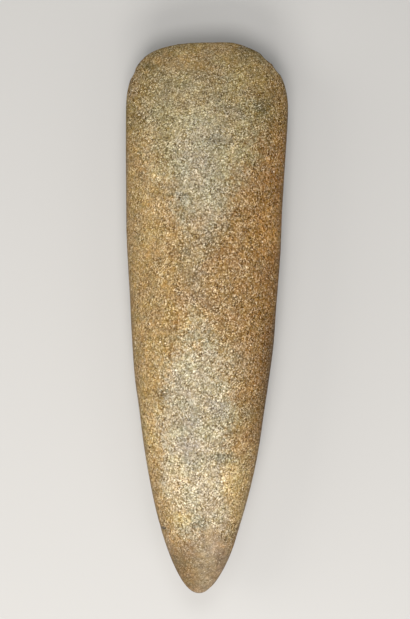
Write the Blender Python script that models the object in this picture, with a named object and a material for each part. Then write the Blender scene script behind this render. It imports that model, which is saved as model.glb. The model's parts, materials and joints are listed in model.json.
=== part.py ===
"""A polished stone axe head, lying flat.

A long pointed-butt axe ground from one piece of medium-grained rock. Its broad, gently bowed cutting
edge faces +Y and its tapering butt faces -Y, X runs across the blade and Z is up. The origin is at the
middle of its length and width, on the surface that it lies on.
"""

import math

import bmesh
import bpy
from mathutils import Vector

MM = 0.001

# Overall size
AXE_LENGTH = 280 * MM
AXE_WIDTH = 82 * MM
AXE_THICKNESS = 52 * MM

# Plan outline, as distances from the cutting edge towards the butt
CORNER_DEPTH = 38 * MM  # length over which each blade corner turns from the edge into the side
LEFT_CORNER = 2.64  # superellipse exponents: the left corner is fuller than the right one
RIGHT_CORNER = 2.48
EDGE_SHIFT = 5.0 * MM  # the foremost point of the cutting edge stands this far right of the middle
SHIFT_LENGTH = 1.3 * MM
TAPER_START = 9 * MM  # where the sides start to draw in
TAPER_RISE = 2.26  # exponents of the taper
TAPER_CLOSE = 1.91
SIDE_SWELLS = (
    # side, distance from the edge, how far the side swells out, length of the swell
    (+1, 26 * MM, 0.75 * MM, 20 * MM),
    (+1, 84 * MM, -0.60 * MM, 18 * MM),
    (+1, 152 * MM, 0.35 * MM, 11 * MM),
    (+1, 206 * MM, 0.30 * MM, 14 * MM),
    (+1, 243 * MM, -0.35 * MM, 9 * MM),
    (+1, 262 * MM, 0.45 * MM, 10 * MM),
    (-1, 4 * MM, 1.50 * MM, 6.4 * MM),
    (-1, 172 * MM, 0.40 * MM, 10 * MM),
    (-1, 268 * MM, -0.30 * MM, 8 * MM),
)

# Side profile
THICKEST_AT = 128 * MM  # from the cutting edge
BLADE_RISE = 2.2  # exponents of the bevels that meet in the cutting edge
BLADE_CLOSE = 1.32
BUTT_RISE = 2.15  # exponents of the rounding of the butt
BUTT_CLOSE = 1.90
SECTION_FULLNESS = 2.2  # exponent of the oval cross-section: 2 is an ellipse
EDGE_TWIST = 1.1 * MM  # the cutting edge sits this much out of true at each corner
TWIST_LENGTH = 40 * MM

# The flat that it rests on, ground off the underside
REST_FLAT_DEPTH = 0.6 * MM

# Old chips and worn facets, each the shallow bite of a ball into the rim
CHIPS = (
    # name, side, distance from the edge, height over the middle plane, ball radius, bite
    ("chip_right_corner", +1, 8.7 * MM, 1.5 * MM, 9.0 * MM, 1.5 * MM),
    ("chip_right_shoulder", +1, 13.5 * MM, 2.5 * MM, 9.0 * MM, 1.2 * MM),
    ("chip_left_edge", -1, 9.3 * MM, 1.0 * MM, 9.0 * MM, 0.3 * MM),
    ("chip_left_corner", -1, 16.9 * MM, 1.0 * MM, 9.0 * MM, 0.8 * MM),
    ("chip_left_flank", -1, 245.5 * MM, 2.0 * MM, 2.6 * MM, 0.8 * MM),
    ("facet_butt", +1, 277.2 * MM, 1.5 * MM, 16.0 * MM, 0.5 * MM),
)

# Mesh fineness
SEGMENTS_ROUND = 72
RINGS_ALONG = 50

STONE_COLOUR = (0.33, 0.25, 0.15, 1.0)
STONE_ROUGHNESS = 0.62


def clear_scene():
    for obj in list(bpy.data.objects):
        bpy.data.objects.remove(obj, do_unlink=True)


def new_collection(name):
    collection = bpy.data.collections.new(name)
    bpy.context.scene.collection.children.link(collection)
    return collection


def stone_material():
    material = bpy.data.materials.new("ground_stone")
    material.use_nodes = True
    shader = material.node_tree.nodes["Principled BSDF"]
    shader.inputs["Base Color"].default_value = STONE_COLOUR
    shader.inputs["Roughness"].default_value = STONE_ROUGHNESS
    shader.inputs["Metallic"].default_value = 0.0
    return material


def rounded_end(distance, reach, rise, close):
    """Share of the full size at a distance from an end that rounds off over its reach."""
    if distance >= reach:
        return 1.0
    left = 1.0 - max(distance, 0.0) / reach
    return (1.0 - left**rise) ** (1.0 / close)


def half_width(from_edge, side):
    corner = RIGHT_CORNER if side > 0 else LEFT_CORNER
    blade = rounded_end(from_edge, CORNER_DEPTH, corner, corner)
    butt = rounded_end(AXE_LENGTH - from_edge, AXE_LENGTH - TAPER_START, TAPER_RISE, TAPER_CLOSE)
    swell = 0.0
    for swell_side, place, height, length in SIDE_SWELLS:
        if swell_side == side:
            swell += height * math.exp(-(((from_edge - place) / length) ** 2))
    return (AXE_WIDTH / 2 + swell) * blade * butt


def middle_offset():
    """How far the middle of the width lies to the right of the axis."""
    widest = CORNER_DEPTH
    return (half_width(widest, 1) - half_width(widest, -1)) / 2


def edge_shift(from_edge):
    """How far the middle of the width bends to the right as it comes to the cutting edge."""
    return EDGE_SHIFT * math.exp(-from_edge / SHIFT_LENGTH)


def half_thickness(from_edge):
    blade = rounded_end(from_edge, THICKEST_AT, BLADE_RISE, BLADE_CLOSE)
    butt = rounded_end(AXE_LENGTH - from_edge, AXE_LENGTH - THICKEST_AT, BUTT_RISE, BUTT_CLOSE)
    return AXE_THICKNESS / 2 * blade * butt


def on_stone(direction):
    """The point of the axe's surface that a direction on the unit ball stands for."""
    from_edge = AXE_LENGTH / 2 * (1.0 - direction.y)
    around = math.hypot(direction.x, direction.z)
    if around < 1e-6:
        return Vector((edge_shift(from_edge), AXE_LENGTH / 2 - from_edge, 0.0))
    across = direction.x / around
    up = direction.z / around
    power = 2.0 / SECTION_FULLNESS
    share = math.copysign(abs(across) ** power, across)
    x = half_width(from_edge, 1 if across > 0 else -1) * share + edge_shift(from_edge)
    z = half_thickness(from_edge) * math.copysign(abs(up) ** power, up)
    twist = EDGE_TWIST * share * math.exp(-from_edge / TWIST_LENGTH)
    return Vector((x, AXE_LENGTH / 2 - from_edge, z + twist))


def ball(name, centre, radius, collection):
    """A ball that bites a chip out of the stone."""
    mesh = bpy.data.meshes.new(name)
    shape = bmesh.new()
    bmesh.ops.create_icosphere(shape, subdivisions=4, radius=radius)
    shape.to_mesh(mesh)
    shape.free()
    obj = bpy.data.objects.new(name, mesh)
    obj.location = centre
    obj.hide_render = True
    obj.display_type = "WIRE"
    collection.objects.link(obj)
    return obj


def stone_body(collection):
    """The ground stone without its chips: a ball drawn out to the axe's shape, cut flat below."""
    shape = bmesh.new()
    bmesh.ops.create_uvsphere(shape, u_segments=SEGMENTS_ROUND, v_segments=RINGS_ALONG, radius=1.0)
    for vertex in shape.verts:
        x, y, z = vertex.co
        vertex.co = on_stone(Vector((x, z, -y)))
    floor = Vector((0.0, 0.0, REST_FLAT_DEPTH - AXE_THICKNESS / 2))
    cut = bmesh.ops.bisect_plane(
        shape,
        geom=shape.verts[:] + shape.edges[:] + shape.faces[:],
        dist=1e-7,
        plane_co=floor,
        plane_no=Vector((0.0, 0.0, -1.0)),
        clear_outer=True,
    )
    rim = [part for part in cut["geom_cut"] if isinstance(part, bmesh.types.BMEdge)]
    bmesh.ops.contextual_create(shape, geom=rim)
    bmesh.ops.translate(shape, vec=Vector((-middle_offset(), 0.0, -floor.z)), verts=shape.verts)
    bmesh.ops.recalc_face_normals(shape, faces=shape.faces)
    mesh = bpy.data.meshes.new("axe_head")
    shape.to_mesh(mesh)
    shape.free()
    mesh.shade_smooth()
    obj = bpy.data.objects.new("axe_head", mesh)
    collection.objects.link(obj)
    return obj


def chip_centre(side, from_edge, height, outwards):
    """A point that stands outwards from the rim, square to the outline."""
    step = 0.05 * MM
    widening = half_width(from_edge + step, side) - half_width(from_edge - step, side)
    lean = math.atan2(widening, 2 * step)
    across = side * (half_width(from_edge, side) + outwards * math.cos(lean)) + edge_shift(from_edge)
    along = AXE_LENGTH / 2 - from_edge + outwards * math.sin(lean)
    return Vector((across - middle_offset(), along, AXE_THICKNESS / 2 - REST_FLAT_DEPTH + height))


def chip_stone(stone, cutters):
    """Take each chip out of the stone with a Boolean."""
    for name, side, from_edge, height, radius, bite in CHIPS:
        centre = chip_centre(side, from_edge, height, radius - bite)
        cut = stone.modifiers.new(name, "BOOLEAN")
        cut.operation = "DIFFERENCE"
        cut.solver = "EXACT"
        cut.object = ball(name, centre, radius, cutters)


def main():
    clear_scene()
    parts = new_collection("polished_stone_axe")
    cutters = new_collection("cutters")
    stone = stone_body(parts)
    stone.data.materials.append(stone_material())
    chip_stone(stone, cutters)


main()
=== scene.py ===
import json
import math

import bmesh
import bpy
import numpy as np
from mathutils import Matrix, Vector, noise

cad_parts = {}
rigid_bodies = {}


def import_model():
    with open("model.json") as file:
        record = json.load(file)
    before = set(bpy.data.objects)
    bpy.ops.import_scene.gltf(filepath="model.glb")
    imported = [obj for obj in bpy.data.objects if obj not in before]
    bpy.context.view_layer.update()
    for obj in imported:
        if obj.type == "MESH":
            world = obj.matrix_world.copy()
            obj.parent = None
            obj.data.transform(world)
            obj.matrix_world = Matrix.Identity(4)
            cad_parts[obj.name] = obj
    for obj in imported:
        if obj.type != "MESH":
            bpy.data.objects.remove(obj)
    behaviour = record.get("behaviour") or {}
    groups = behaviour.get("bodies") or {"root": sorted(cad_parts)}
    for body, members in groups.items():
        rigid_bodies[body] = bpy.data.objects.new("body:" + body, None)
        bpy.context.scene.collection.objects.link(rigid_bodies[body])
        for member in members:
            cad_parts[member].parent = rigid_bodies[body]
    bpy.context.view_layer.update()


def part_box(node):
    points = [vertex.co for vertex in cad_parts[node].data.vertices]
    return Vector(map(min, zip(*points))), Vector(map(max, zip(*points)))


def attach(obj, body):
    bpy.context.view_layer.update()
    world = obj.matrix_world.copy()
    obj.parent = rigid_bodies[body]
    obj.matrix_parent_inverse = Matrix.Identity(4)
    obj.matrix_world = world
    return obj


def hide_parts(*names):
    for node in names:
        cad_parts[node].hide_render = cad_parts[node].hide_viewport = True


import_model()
mm = 0.001

# Shape of the ground stone. Its length and height are the solid's own
axeShape = {
    "width": 82 * mm,            # across the blade, before the swells of the sides
    "thickness": 52 * mm,        # before the rest flat was ground
    "cornerDepth": 38 * mm,      # how far back each blade corner turns into the side
    "leftCorner": 2.64,          # a higher number is a squarer corner
    "rightCorner": 2.48,
    "edgeShift": 5.0 * mm,       # the cutting edge comes furthest forward right of the middle
    "shiftLength": 1.3 * mm,
    "taperStart": 9 * mm,
    "taperRise": 2.26,
    "taperClose": 1.91,
    "thickestAt": 128 * mm,      # from the cutting edge
    "bladeRise": 2.2,
    "bladeClose": 1.32,
    "buttRise": 2.15,
    "buttClose": 1.90,
    "sectionFullness": 2.2,      # 2 is an ellipse
    "edgeTwist": 1.1 * mm,
    "twistLength": 40 * mm,
    # side, distance from the edge, swell, length of the swell
    "sideSwells": (
        (+1, 26 * mm, 0.75 * mm, 20 * mm),
        (+1, 84 * mm, -0.60 * mm, 18 * mm),
        (+1, 152 * mm, 0.35 * mm, 11 * mm),
        (+1, 206 * mm, 0.30 * mm, 14 * mm),
        (+1, 243 * mm, -0.35 * mm, 9 * mm),
        (+1, 262 * mm, 0.45 * mm, 10 * mm),
        (-1, 4 * mm, 1.50 * mm, 6.4 * mm),
        (-1, 172 * mm, 0.40 * mm, 10 * mm),
        (-1, 268 * mm, -0.30 * mm, 8 * mm),
    ),
    # side, distance from the edge, height over the middle, ball radius, bite
    "chips": (
        (+1, 8.7 * mm, 1.5 * mm, 9.0 * mm, 1.5 * mm),
        (+1, 13.5 * mm, 2.5 * mm, 9.0 * mm, 1.2 * mm),
        (-1, 9.3 * mm, 1.0 * mm, 9.0 * mm, 0.3 * mm),
        (-1, 16.9 * mm, 1.0 * mm, 9.0 * mm, 0.8 * mm),
        (-1, 245.5 * mm, 2.0 * mm, 2.6 * mm, 0.8 * mm),
        (+1, 277.2 * mm, 1.5 * mm, 16.0 * mm, 0.5 * mm),
    ),
    "ballSegments": (256, 200),  # round and along the ball that the stone is drawn out from
    "meshSpacing": 0.82 * mm,    # side of the fine mesh's squares
    "endFit": (2 * mm, 10 * mm),  # over these distances from either end the fit to the exact shape sets in
}

lowCorner, highCorner = (np.array(corner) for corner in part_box("axe_head"))
axeLength, axeHeight = highCorner[1] - lowCorner[1], highCorner[2] - lowCorner[2]
middleHeight = axeHeight - axeShape["thickness"] / 2


def roundedEnd(distance, reach, rise, close):
    left = 1 - np.clip(distance, 0, reach) / reach
    return (1 - left ** rise) ** (1 / close)


def halfWidth(fromEdge, side):
    corner = axeShape["rightCorner"] if side > 0 else axeShape["leftCorner"]
    blade = roundedEnd(fromEdge, axeShape["cornerDepth"], corner, corner)
    butt = roundedEnd(axeLength - fromEdge, axeLength - axeShape["taperStart"],
                      axeShape["taperRise"], axeShape["taperClose"])
    swell = 0
    for swellSide, place, height, length in axeShape["sideSwells"]:
        if swellSide == side:
            swell = swell + height * np.exp(-((fromEdge - place) / length) ** 2)
    return (axeShape["width"] / 2 + swell) * blade * butt


def halfThickness(fromEdge):
    blade = roundedEnd(fromEdge, axeShape["thickestAt"], axeShape["bladeRise"], axeShape["bladeClose"])
    butt = roundedEnd(axeLength - fromEdge, axeLength - axeShape["thickestAt"],
                      axeShape["buttRise"], axeShape["buttClose"])
    return axeShape["thickness"] / 2 * blade * butt


middleOffset = (halfWidth(axeShape["cornerDepth"], 1) - halfWidth(axeShape["cornerDepth"], -1)) / 2


def edgeShift(fromEdge):
    return axeShape["edgeShift"] * np.exp(-fromEdge / axeShape["shiftLength"])


def widthOnSide(fromEdge, across):
    return np.where(across > 0, halfWidth(fromEdge, 1), halfWidth(fromEdge, -1))


def stonePoints(directions):
    # a direction on the unit ball, with +Y at the cutting edge, becomes a point of the stone
    fromEdge = axeLength / 2 * (1 - directions[:, 1])
    around = np.maximum(np.hypot(directions[:, 0], directions[:, 2]), 1e-9)
    across, up = directions[:, 0] / around, directions[:, 2] / around
    power = 2 / axeShape["sectionFullness"]
    share = np.sign(across) * np.abs(across) ** power
    x = widthOnSide(fromEdge, across) * share - middleOffset + edgeShift(fromEdge)
    z = halfThickness(fromEdge) * np.sign(up) * np.abs(up) ** power
    twist = axeShape["edgeTwist"] * share * np.exp(-fromEdge / axeShape["twistLength"])
    return np.column_stack([x, axeLength / 2 - fromEdge, z + twist + middleHeight])


def readVertices(mesh):
    points = np.empty(len(mesh.vertices) * 3)
    mesh.vertices.foreach_get("co", points)
    return points.reshape(-1, 3)


def readNormals(mesh):
    normals = np.empty(len(mesh.vertices) * 3)
    mesh.vertices.foreach_get("normal", normals)
    return normals.reshape(-1, 3)


def writeVertices(mesh, points):
    mesh.vertices.foreach_set("co", points.ravel())
    mesh.update()


def addObject(name, mesh):
    piece = bpy.data.objects.new(name, mesh)
    bpy.context.scene.collection.objects.link(piece)
    return piece


def sectionAt(points):
    # where points lie on their own cross section, as shares of its half width and half thickness
    margin = 0.01 * mm           # the section has no width right at an end
    fromEdge = np.clip(axeLength / 2 - points[:, 1], margin, axeLength - margin)
    across = points[:, 0] + middleOffset - edgeShift(fromEdge)
    width, thickness = widthOnSide(fromEdge, across), halfThickness(fromEdge)
    twist = axeShape["edgeTwist"] * across / width * np.exp(-fromEdge / axeShape["twistLength"])
    return fromEdge, width, thickness, across / width, (points[:, 2] - middleHeight - twist) / thickness


def smoothStep(low, high, value):
    share = np.clip((value - low) / (high - low), 0, 1)
    return share * share * (3 - 2 * share)


def groundBody():
    # a finely divided ball is drawn out to the stone's shape, then remeshed into even squares
    shape = bmesh.new()
    aroundCount, alongCount = axeShape["ballSegments"]
    bmesh.ops.create_uvsphere(shape, u_segments=aroundCount, v_segments=alongCount, radius=1)
    mesh = bpy.data.meshes.new("roughOut")
    shape.to_mesh(mesh)
    shape.free()
    ball = readVertices(mesh)
    writeVertices(mesh, stonePoints(np.column_stack([ball[:, 0], ball[:, 2], -ball[:, 1]])))
    roughOut = addObject("roughOut", mesh)
    remesh = roughOut.modifiers.new("evenSquares", "REMESH")
    remesh.mode = "VOXEL"
    remesh.voxel_size = axeShape["meshSpacing"]
    graph = bpy.context.evaluated_depsgraph_get()
    fineMesh = bpy.data.meshes.new_from_object(roughOut.evaluated_get(graph))
    bpy.data.objects.remove(roughOut)
    fineMesh.name = "axeStone"
    return addObject("axeStone", fineMesh)


def trueUp(mesh):
    # the squares' corners go back to the exact surface, which takes out the small steps of the remesh
    points = readVertices(mesh)
    fromEdge, width, thickness, across, up = sectionAt(points)
    power = axeShape["sectionFullness"]
    reach = (np.abs(across) ** power + np.abs(up) ** power) ** (1 / power)
    ends = smoothStep(*axeShape["endFit"], np.minimum(fromEdge, axeLength - fromEdge))
    scale = (1 / reach - 1) * ends
    points[:, 0] += across * width * scale
    points[:, 2] += up * thickness * scale
    writeVertices(mesh, points)


# Unevenness left by pecking and grinding, and the wear since
reliefShape = {
    "grindDepth": 0.30 * mm,     # long shallow planes of the grinding
    "grindAcross": 16 * mm,
    "grindAlong": 75 * mm,
    "swellDepth": 0.30 * mm,     # broad unevenness
    "swellSize": 30 * mm,
    "pitDepth": 0.07 * mm,       # peck marks that the grinding left
    "pitSpacing": 3.1 * mm,
    "pitRadius": (0.30, 0.25),   # the smallest, and how much wider the widest is, in spacings
    "pitShare": 0.38,            # share of the marks that are still there
    "pitChoice": 7.3,            # another number leaves other marks
    "pitWarp": 1.1 * mm,         # how far their outlines wander
    "pitWarpSize": 0.6,          # over what distance, in spacings
    "pitSeed": 5,                # another number makes them wander otherwise
    "grainDepth": 0.05 * mm,     # single crystals standing proud
    "grainSize": 1.6 * mm,
    "bladePolish": 26 * mm,      # the cutting edge is polished smooth this far back
    "bladeFade": (0.4, 1.3),     # the polish fades between these shares of that distance
    "buttPolish": 24 * mm,       # the same for the end of the butt
    "buttFade": (0.6, 1.5),
    "polishLoss": 0.8,           # share of the marks and crystals that the polish took off
    "endCalm": 3 * mm,           # this near to either end the relief dies down
    "endRelief": 0.05,           # to this share
}


def noiseOver(points, size, shift):
    # the shift gives each noise a pattern of its own
    scaled = points / size + shift
    return np.array([noise.noise(Vector(point)) for point in scaled])


def peckMarks(points):
    # each mark is a ragged dimple around one random point, and only some of them are left
    spacing, share = reliefShape["pitSpacing"], reliefShape["pitShare"]
    warp, warpSize = reliefShape["pitWarp"], reliefShape["pitWarpSize"] * spacing
    smallest, widening = reliefShape["pitRadius"]
    depth = np.zeros(len(points))
    noise.seed_set(reliefShape["pitSeed"])
    for index, point in enumerate(points):
        wander = noise.noise_vector(Vector(point / warpSize)) * warp
        distances, centres = noise.voronoi((Vector(point) + wander) / spacing)
        chance = noise.cell(centres[0] * reliefShape["pitChoice"]) % 1
        if chance < share:
            radius = smallest + widening * (chance / share)
            depth[index] = max(0.0, 1 - (distances[0] / radius) ** 2)
    return depth


def polishShare(fromEdge):
    # 1 where the surface is polished smooth, 0 on the pecked and ground body
    blade = 1 - smoothStep(*reliefShape["bladeFade"], fromEdge / reliefShape["bladePolish"])
    butt = 1 - smoothStep(*reliefShape["buttFade"], (axeLength - fromEdge) / reliefShape["buttPolish"])
    return np.maximum(blade, butt)


def carveRelief(mesh):
    points, normals = readVertices(mesh), readNormals(mesh)
    fromEdge = axeLength / 2 - points[:, 1]
    rough = 1 - reliefShape["polishLoss"] * polishShare(fromEdge)
    stretch = np.array([reliefShape["grindAcross"], reliefShape["grindAlong"], reliefShape["grindAcross"]])
    depth = reliefShape["grindDepth"] * noiseOver(points / stretch, 1, shift=3.7)
    depth += reliefShape["swellDepth"] * noiseOver(points, reliefShape["swellSize"], shift=11.1)
    depth += reliefShape["pitDepth"] * rough * peckMarks(points)
    depth += reliefShape["grainDepth"] * rough * noiseOver(points, reliefShape["grainSize"], shift=5.9)
    ends = np.clip(np.minimum(fromEdge, axeLength - fromEdge) / reliefShape["endCalm"], 0, 1)
    endRelief = reliefShape["endRelief"]
    points -= normals * (depth * (endRelief + (1 - endRelief) * ends))[:, None]
    writeVertices(mesh, points)


def biteChips(mesh):
    # points inside a ball go back to its surface, which leaves the scoop of a worn chip
    points = readVertices(mesh)
    step = 0.05 * mm             # over which the lean of the outline is measured
    for side, fromEdge, height, radius, bite in axeShape["chips"]:
        widening = halfWidth(fromEdge + step, side) - halfWidth(fromEdge - step, side)
        lean = math.atan2(widening, 2 * step)
        outwards = radius - bite
        across = side * (halfWidth(fromEdge, side) + outwards * math.cos(lean))
        along = axeLength / 2 - fromEdge + outwards * math.sin(lean)
        centre = np.array([across - middleOffset + edgeShift(fromEdge), along, middleHeight + height])
        away = points - centre
        distance = np.linalg.norm(away, axis=1)
        inside = distance < radius
        points[inside] = centre + away[inside] / distance[inside, None] * radius
    writeVertices(mesh, points)


def keepWithin(mesh):
    # the ground flat under the stone, and nothing prouder than the solid
    writeVertices(mesh, np.clip(readVertices(mesh), lowCorner, highCorner))


# Two charts side by side on a square of side 1, for a painted copy of the stone
chartPlan = {
    "upperMiddle": 0.25,
    "underMiddle": 0.75,
    "halfWidth": 0.24,
    "margin": 0.01,              # above and below the charts
    "endTurn": 0.01,             # radians that the measure of the length stays off the very ends
    "lengthSteps": 400,          # points from end to end
    "girthSteps": 17,            # from the middle of a face to the rim
}


def layOut(mesh):
    # the upper face and the under face are parted along the rim, and laid flat by their true lengths
    fromEdge, width, thickness, across, up = sectionAt(readVertices(mesh))
    turns = np.linspace(chartPlan["endTurn"], math.pi - chartPlan["endTurn"], chartPlan["lengthSteps"])
    station = axeLength / 2 * (1 - np.cos(turns))
    steps = np.hypot(np.diff(station), np.diff(halfThickness(station)))
    along = np.interp(fromEdge, station, np.append(0, np.cumsum(steps)) / steps.sum())
    corners = np.empty(len(mesh.loops), np.int32)
    mesh.loops.foreach_get("vertex_index", corners)
    sizes = np.array([face.loop_total for face in mesh.polygons])
    starts = np.append(0, np.cumsum(sizes)[:-1])
    faceUp = np.add.reduceat(up[corners], starts) > 0
    upper = np.repeat(faceUp, sizes)
    turn = np.arctan2(across[corners], np.where(upper, 1, -1) * up[corners])
    arc = turn[:, None] * np.linspace(0, 1, chartPlan["girthSteps"])
    speed = np.hypot(width[corners, None] * np.cos(arc), thickness[corners, None] * np.sin(arc))
    girth = turn * speed.mean(axis=1)
    middle = np.where(upper, chartPlan["upperMiddle"], chartPlan["underMiddle"])
    margin = chartPlan["margin"]
    places = np.column_stack([middle + chartPlan["halfWidth"] * girth / np.abs(girth).max(),
                              margin + (1 - 2 * margin) * (1 - along[corners])])
    layer = mesh.uv_layers.new(name="OFBake")
    layer.uv.foreach_set("vector", places.ravel())


axeStone = groundBody()
print("ground body:", len(axeStone.data.polygons), "faces")
trueUp(axeStone.data)
biteChips(axeStone.data)
carveRelief(axeStone.data)
keepWithin(axeStone.data)
layOut(axeStone.data)
axeStone.data.shade_smooth()
print("relief carved")


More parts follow.
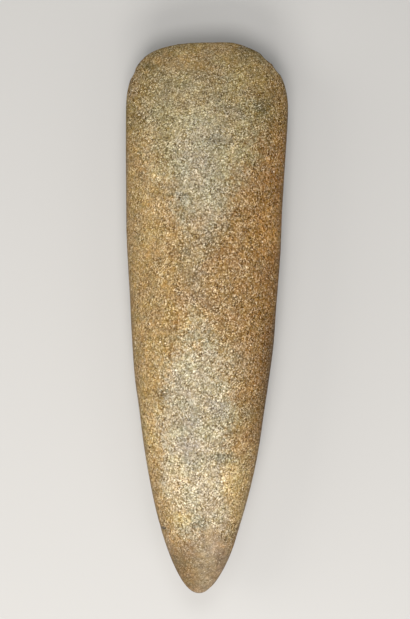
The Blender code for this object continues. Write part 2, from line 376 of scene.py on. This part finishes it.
# Crystals, ground mass and patina of the rock. Sizes are in millimetres, and places are from the axe's middle
stoneLook = {
    "grainSize": 0.42,           # the dark and middling grains of the ground mass
    "darkShare": 0.36,
    "darkFade": (0.5, 1.5),      # between these multiples of the dark share, dark grains turn middling
    "paleRange": (0.5, 1.0),     # between these tones, middling grains turn pale
    "palePart": 0.35,            # as far as this
    "ownHue": 0.25,              # how much of a grain's hue is its own; the rest follows its tone
    "hueRange": (0.15, 0.85),
    "dustSize": 0.45,            # finest mottling inside the grains
    "dustRange": (0.30, 0.70),
    "dustShare": 0.25,
    "lathWidth": 0.30,           # pale feldspar laths, lying every way among them
    "laths": ((12, 1.4), (74, 1.6), (133, 2.2)),   # turn in degrees, and length
    "lathShare": 0.30,
    "lathEdge": (0.50, 0.30),    # from a crystal's edge to its full core, in cells
    "lathBend": 0.4,
    "bendScale": 0.55,           # bends to a millimetre
    "speckSpacing": 2.6,         # single larger crystals
    "speckShare": 0.12,
    "speckRadius": 0.40,
    "speckEdge": (1.2, 0.7),     # from a crystal's edge to its full core, in radii
    "wornSize": 4.5,             # patches where the crystals are rubbed over or stand open
    "wornRange": (0.70, 1.20),
    "darkGrain": (0.14, 0.07, 0.00, 1),  # these five multiply the colour of the patina
    "meanGrain": (0.80, 0.74, 0.46, 1),
    "paleGrain": (3.40, 3.80, 4.60, 1),
    "rustyGrain": (1.11, 0.96, 0.64, 1),
    "greyGrain": (0.94, 1.01, 1.18, 1),
    "freshRange": (0.30, 0.52),  # blue over red in the patina, from rusty to fresh rock
    "freshCalm": 0.5,            # how much less the grains differ in hue where the rock is fresh and pale
    "feldspar": (0.95, 0.84, 0.63, 1),   # fresh crystals, the same in every patina
    "feldsparShare": 0.60,
    "bodyColour": (0.216, 0.133, 0.052, 1),
    "bodyShow": 0.88,            # how strongly the crystals show
    "bodyCloud": 0.04,           # and the small clouds
    # centre, radii, softness, how ragged the edge is, how strongly crystals and small clouds show, colour
    "zones": {
        "goldenSide": ((-45, 10), (35, 164), 0.35, 0.5, 0.76, 0.07, (0.255, 0.170, 0.068, 1)),
        "rustSide": ((56, 23), (30, 126), 0.45, 0.6, 1.00, 0.18, (0.205, 0.100, 0.020, 1)),
        "rustBright": ((32, 46), (7, 12), 0.60, 0.6, 1.00, 0.16, (0.285, 0.155, 0.044, 1)),
        "oliveShoulder": ((-11, 115), (54, 30), 0.45, 0.7, 0.84, 0.10, (0.160, 0.110, 0.032, 1)),
        "bladeMargin": ((2, 148), (62, 39), 0.40, 0.4, 0.68, 0.10, (0.220, 0.155, 0.064, 1)),
        "edgePale": ((-3, 131), (14, 7), 0.60, 0.6, 0.70, 0.10, (0.270, 0.192, 0.084, 1)),
        "goldenBright": ((-23, 70), (8, 28), 0.60, 0.6, 0.80, 0.08, (0.282, 0.194, 0.080, 1)),
        "leftArm": ((-17, 104), (13, 20), 0.40, 0.7, 0.78, 0.06, (0.228, 0.180, 0.094, 1)),
        "leftShoulder": ((-40, 124), (7, 14), 0.60, 0.7, 0.80, 0.08, (0.190, 0.130, 0.060, 1)),
        "rightShoulder": ((38, 116), (7, 16), 0.60, 0.7, 0.84, 0.08, (0.215, 0.137, 0.051, 1)),
        "bladeGrey": ((-2, 90), (27, 32), 0.35, 0.9, 0.82, 0.08, (0.265, 0.215, 0.116, 1)),
        # pale grey stone on the crest near the blade, and in part a painted sheen where light glances off the
        # crest
        "crestGreyAndSheen": ((-3, 69), (13, 31), 0.45, 0.7, 0.80, 0.07, (0.280, 0.242, 0.164, 1)),
        "crestLine": ((-4, 24), (6, 28), 0.80, 0.7, 0.88, 0.04, (0.245, 0.175, 0.092, 1)),
        "crestGold": ((-3, -6), (8, 9), 0.60, 0.8, 0.90, 0.08, (0.290, 0.200, 0.086, 1)),
        "lowerLeft": ((-32, -68), (13, 26), 0.40, 0.5, 0.94, 0.11, (0.295, 0.202, 0.082, 1)),
        "lowerRight": ((20, -88), (14, 26), 0.45, 0.5, 0.94, 0.10, (0.285, 0.195, 0.084, 1)),
        "crestRight": ((14, -26), (7, 13), 0.60, 0.6, 0.90, 0.10, (0.260, 0.185, 0.090, 1)),
        "oliveRight": ((20, -48), (5, 7), 0.60, 0.8, 0.90, 0.10, (0.230, 0.160, 0.070, 1)),
        # painted shade: the right flank is darkened where less light falls on it
        "paintedShadeFlank": ((36, -28), (8, 24), 0.60, 0.4, 0.96, 0.10, (0.135, 0.072, 0.022, 1)),
        # these three are paler grey stone along the lower crest, and in part a painted sheen of light
        # glancing off it, brightest towards the butt
        "buttPaleAndSheen": ((-3, -58), (17, 50), 0.25, 0.8, 0.83, 0.14, (0.295, 0.250, 0.168, 1)),
        "buttGreyAndSheen": ((-5, -60), (7, 20), 0.60, 0.7, 0.78, 0.12, (0.262, 0.228, 0.168, 1)),
        "buttBrightAndSheen": ((-1, -83), (13, 8), 0.50, 0.7, 0.88, 0.14, (0.335, 0.285, 0.190, 1)),
        "goldenButt": ((-17, -98), (4, 7), 0.60, 0.5, 0.88, 0.10, (0.205, 0.135, 0.052, 1)),
        "crustLeft": ((-12, -80), (4, 12), 0.60, 0.8, 0.96, 0.12, (0.330, 0.266, 0.162, 1)),
        "crustRight": ((14, -79), (4, 12), 0.60, 0.8, 0.96, 0.12, (0.370, 0.285, 0.144, 1)),
        "crustEnd": ((-8, -99), (4, 4), 0.60, 0.8, 0.96, 0.12, (0.340, 0.265, 0.142, 1)),
        "buttEnd": ((0, -148), (60, 35), 0.30, 0.3, 0.32, 0.07, (0.180, 0.130, 0.078, 1)),
        "buttLeft": ((-10, -131), (8, 15), 0.60, 0.4, 0.34, 0.06, (0.135, 0.088, 0.040, 1)),
        "buttStreak": ((9, -98), (6, 10), 0.55, 0.5, 0.90, 0.12, (0.320, 0.260, 0.170, 1)),
        "endStreak": ((4, -113), (5, 8), 0.60, 0.5, 0.40, 0.08, (0.245, 0.186, 0.116, 1)),
        # painted shadow: a near-black spot in the hollow of the small chip on the left flank near the butt
        "flankNickShadow": ((-18.4, -105.6), (1.3, 0.8), 0.50, 0.0, 1.00, 0.00, (0.030, 0.020, 0.014, 1)),
    },
    "borderSizes": (13, 1.6),    # broad and fine wandering of the borders of zones and blots
    "borderSwirl": 0.7,
    "cloudSize": 3.8,
    "cloudRange": (0.3, 0.7),
    "cloudShift": (50, 20, 80),  # keeps the clouds off the pattern of the tints
    "mottle": ((16, 0.08), (6, 0.075), (2.0, 0.20)),   # size and strength of the other clouds
    # faint clouds of colour: size, both colours, and whether they fade where the rock is fresh
    "tints": (
        (7.0, (1.035, 0.995, 0.89, 1), (0.985, 0.995, 1.075, 1), True),
        (2.6, (1.04, 0.98, 0.90, 1), (0.98, 1.01, 1.05, 1), True),
        (10.0, (1.025, 0.985, 1.01, 1), (0.980, 1.010, 0.990, 1), False),
    ),
    "patchRange": (0.32, 0.68),  # noise between these passes from one tint to the other, or from worn to open
    # dull grey blots in the patina: centre, radii and strength
    "blots": (
        (27, 105, 4.0, 3.0, 1.0), (-28, 126, 4.0, 1.6, 0.8), (7, 87, 6.0, 2.6, 0.7),
        (-32, 70, 1.8, 2.4, 0.8), (-11, 59, 3.0, 2.4, 0.7), (11, 44, 3.0, 2.0, 0.6),
        (-10, 31, 1.8, 2.6, 0.7), (-12, 24, 2.0, 1.8, 0.7), (-19, -38, 4.0, 3.4, 0.7),
        (17, -19, 3.0, 2.6, 0.6), (12, -68, 6.0, 2.2, 0.9), (-4, -86, 4.0, 2.4, 0.4),
        (0, -101, 4.0, 3.5, 0.8), (3, 37, 5.0, 7.0, 0.4), (13, 103, 5.0, 4.0, 0.5),
        (7, -45, 4.0, 5.0, 0.6), (13, -108, 4.0, 3.0, 0.5), (20, 136, 7.0, 2.0, 0.8),
    ),
    "blotEdge": (0.6, 1.6),      # softness, and how ragged
    "blotColour": (0.60, 0.64, 0.71, 1),
    "flankShadeTone": (0.76, 0.77, 0.81, 1),  # painted shade on the narrow sides and under the stone, where the surface turns away from the light above
    "flankShadeRange": (0.50, 0.15),  # upward tilt of the surface, from no painted shade to full painted shade
    "roughness": (0.45, 0.75),   # on a crystal, and between crystals
    "gloss": 0.06,
    "bumpDepth": 0.10,
    "bumpParts": (0.6, 0.4),     # height of the pale crystals, and of the grains
}
unchanged = (1, 1, 1, 1)         # a colour times this stays as it is


def addNode(tree, kind, inputs=None, **settings):
    # inputs are values or sockets to link from, by name or number
    made = tree.nodes.new(kind)
    for name, value in settings.items():
        setattr(made, name, value)
    for name, value in (inputs or {}).items():
        if isinstance(value, bpy.types.NodeSocket):
            tree.links.new(value, made.inputs[name])
        else:
            made.inputs[name].default_value = value
    return made


def mathNode(tree, operation, first, second=0.0, third=0.0):
    made = addNode(tree, "ShaderNodeMath", {0: first, 1: second, 2: third}, operation=operation)
    return made.outputs[0]


def vectorNode(tree, operation, first, second=(0, 0, 0)):
    made = addNode(tree, "ShaderNodeVectorMath", {0: first, 1: second}, operation=operation)
    return made.outputs["Value" if operation == "LENGTH" else "Vector"]


def rampNode(tree, value, low, high, toLow=0.0, toHigh=1.0):
    made = addNode(tree, "ShaderNodeMapRange", {
        "Value": value, "From Min": low, "From Max": high, "To Min": toLow, "To Max": toHigh},
        interpolation_type="SMOOTHSTEP")
    return made.outputs["Result"]


def mixNumbers(tree, share, first, second):
    return addNode(tree, "ShaderNodeMix", {0: share, 2: first, 3: second}).outputs[0]


def mixColours(tree, share, first, second, blend="MIX"):
    # a Mix node keeps its colours in inputs 6 and 7 and output 2
    made = addNode(tree, "ShaderNodeMix", data_type="RGBA", blend_type=blend)
    for socket, value in ((made.inputs[0], share), (made.inputs[6], first), (made.inputs[7], second)):
        if isinstance(value, bpy.types.NodeSocket):
            tree.links.new(value, socket)
        else:
            socket.default_value = value
    return made.outputs[2]


def multiplyColours(tree, first, second):
    return mixColours(tree, 1.0, first, second, "MULTIPLY")


def noiseNode(tree, place, size, detail=2.0, roughness=0.5, distortion=0.0):
    # the shift keeps the noises of different sizes from lining up
    scaled = vectorNode(tree, "MULTIPLY", place, (1 / size,) * 3)
    made = addNode(tree, "ShaderNodeTexNoise", {
        "Vector": vectorNode(tree, "ADD", scaled, (0.37, 0.61, 0.83)), "Scale": 1.0,
        "Detail": detail, "Roughness": roughness, "Distortion": distortion})
    return made.outputs["Fac"]


def splitColour(tree, colour):
    return addNode(tree, "ShaderNodeSeparateColor", {"Color": colour}).outputs


def cellNode(tree, place, sizes):
    # random cells: distance from each one's centre, and three random numbers of its own
    scaled = vectorNode(tree, "MULTIPLY", place, tuple(1 / size for size in sizes))
    made = addNode(tree, "ShaderNodeTexVoronoi", {"Vector": scaled, "Scale": 1.0})
    return made.outputs["Distance"], splitColour(tree, made.outputs["Color"])


def bentPlace(tree, place):
    # bends the crystals a little, so that no row of them runs straight
    bend = addNode(tree, "ShaderNodeTexNoise", {
        "Vector": place, "Scale": stoneLook["bendScale"], "Detail": 1.0}).outputs["Color"]
    bend = vectorNode(tree, "SUBTRACT", bend, (0.5, 0.5, 0.5))
    bend = vectorNode(tree, "MULTIPLY", bend, (2 * stoneLook["lathBend"],) * 3)
    return vectorNode(tree, "ADD", place, bend)


def lathLayer(tree, place, turn, length):
    # long cells turned one way; each cell is one crystal, some bright and some missing
    turned = addNode(tree, "ShaderNodeVectorRotate", {
        "Vector": place, "Angle": math.radians(turn)}, rotation_type="Z_AXIS").outputs["Vector"]
    distance, chances = cellNode(tree, turned, (length, stoneLook["lathWidth"], stoneLook["lathWidth"]))
    core = rampNode(tree, distance, *stoneLook["lathEdge"])
    bright = rampNode(tree, chances[0], 1 - stoneLook["lathShare"], 1.0)
    return mathNode(tree, "MULTIPLY", core, bright)


def speckLayer(tree, place):
    spacing = stoneLook["speckSpacing"]
    edge, full = (share * stoneLook["speckRadius"] / spacing for share in stoneLook["speckEdge"])
    distance, chances = cellNode(tree, place, (spacing,) * 3)
    core = rampNode(tree, distance, edge, full)
    chosen = mathNode(tree, "GREATER_THAN", chances[0], 1 - stoneLook["speckShare"])
    return mathNode(tree, "MULTIPLY", core, chosen)


def groundMass(tree, place):
    # every cell is one grain with a tone of its own, from dark pyroxene to weathered feldspar
    chances = cellNode(tree, place, (stoneLook["grainSize"],) * 3)[1]
    tone, ownHue = chances[1], stoneLook["ownHue"]
    greyness = mathNode(tree, "MULTIPLY_ADD", chances[2], ownHue,
                        mathNode(tree, "MULTIPLY", tone, 1 - ownHue))
    hue = mixColours(tree, rampNode(tree, greyness, *stoneLook["hueRange"]),
                     stoneLook["rustyGrain"], stoneLook["greyGrain"])
    fade = (stoneLook["darkShare"] * multiple for multiple in stoneLook["darkFade"])
    return rampNode(tree, tone, *fade), rampNode(tree, tone, *stoneLook["paleRange"]), hue


def zoneMask(tree, place, ragged, centre, radii, softness, raggedness):
    offset = vectorNode(tree, "SUBTRACT", place, (*centre, 0))
    shares = vectorNode(tree, "MULTIPLY", offset, (1 / radii[0], 1 / radii[1], 0))
    reach = mathNode(tree, "MULTIPLY_ADD", ragged, raggedness, vectorNode(tree, "LENGTH", shares))
    return rampNode(tree, reach, 1 + softness, 1 - softness)


def borderNoise(tree, place):
    broad, fine = stoneLook["borderSizes"]
    wander = noiseNode(tree, place, broad, detail=3.0, distortion=stoneLook["borderSwirl"])
    ragged = mathNode(tree, "ADD", wander, noiseNode(tree, place, fine, detail=1.0))
    return mathNode(tree, "SUBTRACT", ragged, 1.0)


def layZones(tree, place, ragged):
    # patches of patina, each laid over those before it
    colour, show, cloudy = stoneLook["bodyColour"], stoneLook["bodyShow"], stoneLook["bodyCloud"]
    for centre, radii, softness, raggedness, zoneShow, zoneCloudy, zoneColour in stoneLook["zones"].values():
        mask = zoneMask(tree, place, ragged, centre, radii, softness, raggedness)
        colour = mixColours(tree, mask, colour, zoneColour)
        show = mixNumbers(tree, mask, show, zoneShow)
        cloudy = mixNumbers(tree, mask, cloudy, zoneCloudy)
    return colour, show, cloudy


def addTints(tree, place, colour, calm):
    for size, warm, cool, fades in stoneLook["tints"]:
        share = rampNode(tree, noiseNode(tree, place, size), *stoneLook["patchRange"])
        tint = mixColours(tree, share, warm, cool)
        tint = mixColours(tree, calm if fades else 0.0, tint, unchanged)
        colour = multiplyColours(tree, colour, tint)
    return colour


def addClouds(tree, place, colour, cloudy):
    for size, strength in stoneLook["mottle"] + ((stoneLook["cloudSize"], cloudy),):
        shifted = vectorNode(tree, "ADD", place, stoneLook["cloudShift"])
        cloud = rampNode(tree, noiseNode(tree, shifted, size), *stoneLook["cloudRange"], -1, 1)
        cloud = mathNode(tree, "MULTIPLY_ADD", cloud, strength, 1.0)
        grey = addNode(tree, "ShaderNodeCombineColor", {0: cloud, 1: cloud, 2: cloud}).outputs[0]
        colour = multiplyColours(tree, colour, grey)
    return colour


def addBlots(tree, place, ragged, colour):
    blots = 0.0
    for x, y, wide, high, strength in stoneLook["blots"]:
        mask = zoneMask(tree, place, ragged, (x, y), (wide, high), *stoneLook["blotEdge"])
        blots = mathNode(tree, "MAXIMUM", blots, mathNode(tree, "MULTIPLY", mask, strength))
    return mixColours(tree, blots, colour, multiplyColours(tree, colour, stoneLook["blotColour"]))


def patinaColour(tree, place):
    # its colour, how strongly the crystals show in it, and how much they are calmed in hue
    ragged = borderNoise(tree, place)
    colour, show, cloudy = layZones(tree, place, ragged)
    channels = splitColour(tree, colour)
    fresh = rampNode(tree, mathNode(tree, "DIVIDE", channels[2], channels[0]), *stoneLook["freshRange"])
    calm = mathNode(tree, "MULTIPLY", fresh, stoneLook["freshCalm"])
    colour = addTints(tree, place, colour, calm)
    colour = addClouds(tree, place, colour, cloudy)
    return addBlots(tree, place, ragged, colour), show, calm


def wornShow(tree, place, show):
    patches = rampNode(tree, noiseNode(tree, place, stoneLook["wornSize"]), *stoneLook["patchRange"],
                       *stoneLook["wornRange"])
    return mathNode(tree, "MULTIPLY", show, patches)


def grainColour(tree, dust, notDark, lighter, hue, show, calm):
    # what the ground mass multiplies the patina by
    grain = mixColours(tree, notDark, stoneLook["darkGrain"], stoneLook["meanGrain"])
    grain = mixColours(tree, mathNode(tree, "MULTIPLY", lighter, stoneLook["palePart"]),
                       grain, stoneLook["paleGrain"])
    grain = mixColours(tree, mathNode(tree, "MULTIPLY", dust, stoneLook["dustShare"]), grain, unchanged)
    grain = multiplyColours(tree, grain, mixColours(tree, calm, hue, unchanged))
    return mixColours(tree, show, unchanged, grain)


def crystalColour(tree, patina, specks):
    # stained by the patina, and fresher in the single larger crystals
    stained = multiplyColours(tree, patina, stoneLook["paleGrain"])
    freshness = mathNode(tree, "MAXIMUM", specks, stoneLook["feldsparShare"])
    return mixColours(tree, freshness, stained, stoneLook["feldspar"])


# painted shade: the colour is darkened where the surface turns from facing up to facing sideways or down
def paintedFlankShade(tree, normal, colour):
    upward = addNode(tree, "ShaderNodeSeparateXYZ", {0: normal}).outputs["Z"]
    flank = rampNode(tree, upward, *stoneLook["flankShadeRange"])
    return multiplyColours(tree, colour, mixColours(tree, flank, unchanged, stoneLook["flankShadeTone"]))


def stoneMaterial():
    material = bpy.data.materials.new("groundDolerite")
    material.use_nodes = True
    tree = material.node_tree
    shader = tree.nodes["Principled BSDF"]
    spot = addNode(tree, "ShaderNodeTexCoord").outputs
    place = vectorNode(tree, "MULTIPLY", spot["Object"], (1 / mm,) * 3)

    bent = bentPlace(tree, place)
    crystals = 0.0
    for turn, length in stoneLook["laths"]:
        crystals = mathNode(tree, "MAXIMUM", crystals, lathLayer(tree, bent, turn, length))
    notDark, lighter, hue = groundMass(tree, bent)
    dust = noiseNode(tree, place, stoneLook["dustSize"], roughness=0.6)
    dust = rampNode(tree, dust, *stoneLook["dustRange"])
    specks = speckLayer(tree, bent)
    crystals = mathNode(tree, "MAXIMUM", crystals, specks)

    patina, show, calm = patinaColour(tree, place)
    show = wornShow(tree, place, show)
    colour = multiplyColours(tree, patina, grainColour(tree, dust, notDark, lighter, hue, show, calm))
    colour = mixColours(tree, mathNode(tree, "MULTIPLY", crystals, show), colour,
                        crystalColour(tree, patina, specks))
    tree.links.new(paintedFlankShade(tree, spot["Normal"], colour), shader.inputs["Base Color"])
    shader.inputs["Specular IOR Level"].default_value = stoneLook["gloss"]

    crystalPart, grainPart = stoneLook["bumpParts"]
    height = mathNode(tree, "MULTIPLY_ADD", crystals, crystalPart,
                      mathNode(tree, "MULTIPLY", notDark, grainPart))
    polished, matt = stoneLook["roughness"]
    tree.links.new(rampNode(tree, height, 0.0, 1.0, matt, polished), shader.inputs["Roughness"])
    bump = addNode(tree, "ShaderNodeBump", {
        "Height": mathNode(tree, "MULTIPLY", height, show), "Strength": 1.0,
        "Distance": stoneLook["bumpDepth"] * mm})
    tree.links.new(bump.outputs["Normal"], shader.inputs["Normal"])
    return material


axeStone.data.materials.clear()
axeStone.data.materials.append(stoneMaterial())
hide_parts("axe_head")
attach(axeStone, "root")
print("stone finished")


# Studio: a pale table, soft boxes and a camera straight above
studio = {
    "floorColour": (0.44, 0.43, 0.415, 1),
    "floorRoughness": 0.8,
    "floorSize": 6.0,
    "floorGap": 0.15 * mm,       # under the stone
    "floorFade": (0.35, 0.85),   # between these distances the table passes into the backdrop
    "backdrop": (0.62, 0.605, 0.58, 1),
    "roomLight": 0.166,
    "viewWidth": 0.2082,         # width of the view at the axe's middle height
    "lens": 100,
    "sensor": 36,
    "aim": (0.0006, 0.0040),
    "roll": math.radians(0.916),
    # name, place, aimed at, width, height, watts, colour
    "softBoxes": (
        ("leftBox", (-0.80, 0.10, 0.62), (0, 0, 0.03), 0.55, 0.55, 2.86, (1.0, 0.97, 0.93)),
        ("buttBox", (-0.08, -0.90, 0.72), (0, 0, 0.03), 0.60, 0.50, 10.34, (1.0, 0.98, 0.95)),
        ("rightBox", (0.62, -0.62, 0.70), (0, 0, 0.03), 0.50, 0.50, 1.48, (1.0, 0.98, 0.95)),
        ("crestBox", (-0.03, -0.40, 1.15), (0, -0.05, 0.03), 0.40, 0.40, 8.87, (1.0, 0.99, 0.98)),
        ("bladeBox", (0.0, 0.50, 1.05), (0, 0.05, 0.03), 0.45, 0.35, 3.45, (0.95, 0.98, 1.0)),
    ),
}


def paleFloor():
    shape = bmesh.new()
    bmesh.ops.create_grid(shape, x_segments=1, y_segments=1, size=studio["floorSize"] / 2)
    mesh = bpy.data.meshes.new("paleFloor")
    shape.to_mesh(mesh)
    shape.free()
    floor = addObject("paleFloor", mesh)
    floor.location.z = lowCorner[2] - studio["floorGap"]
    material = bpy.data.materials.new("paleTable")
    material.use_nodes = True
    tree = material.node_tree
    shader = tree.nodes["Principled BSDF"]
    shader.inputs["Base Color"].default_value = studio["floorColour"]
    shader.inputs["Roughness"].default_value = studio["floorRoughness"]
    spot = addNode(tree, "ShaderNodeTexCoord").outputs["Object"]
    nearest, furthest = studio["floorFade"]
    tree.links.new(rampNode(tree, vectorNode(tree, "LENGTH", spot), furthest, nearest),
                   shader.inputs["Alpha"])
    mesh.materials.append(material)


def addSoftBoxes():
    for name, place, target, width, height, watts, colour in studio["softBoxes"]:
        light = bpy.data.lights.new(name, "AREA")
        light.shape = "RECTANGLE"
        light.size, light.size_y = width, height
        light.energy = watts
        light.color = colour
        box = bpy.data.objects.new(name, light)
        box.location = place
        box.rotation_euler = (Vector(target) - Vector(place)).to_track_quat("-Z", "Y").to_euler()
        box.visible_camera = False
        bpy.context.scene.collection.objects.link(box)


def roomLight():
    # the room lights the stone softly, and is seen as a pale backdrop
    world = bpy.data.worlds.new("studioRoom")
    world.use_nodes = True
    tree = world.node_tree
    background = tree.nodes["Background"]
    seen = addNode(tree, "ShaderNodeLightPath").outputs["Is Camera Ray"]
    dim = (studio["roomLight"],) * 3 + (1,)
    tree.links.new(mixColours(tree, seen, dim, studio["backdrop"]), background.inputs["Color"])
    background.inputs["Strength"].default_value = 1.0
    bpy.context.scene.world = world


def cameraAbove():
    data = bpy.data.cameras.new("cameraAbove")
    data.sensor_fit = "HORIZONTAL"
    data.sensor_width = studio["sensor"]
    data.lens = studio["lens"]
    distance = studio["viewWidth"] * data.lens / data.sensor_width
    camera = bpy.data.objects.new("cameraAbove", data)
    camera.location = (*studio["aim"], middleHeight + distance)
    camera.rotation_euler = (0, 0, studio["roll"])
    bpy.context.scene.collection.objects.link(camera)
    bpy.context.scene.camera = camera


paleFloor()
addSoftBoxes()
roomLight()
cameraAbove()
bpy.context.scene.view_settings.view_transform = "Standard"
print("studio ready")
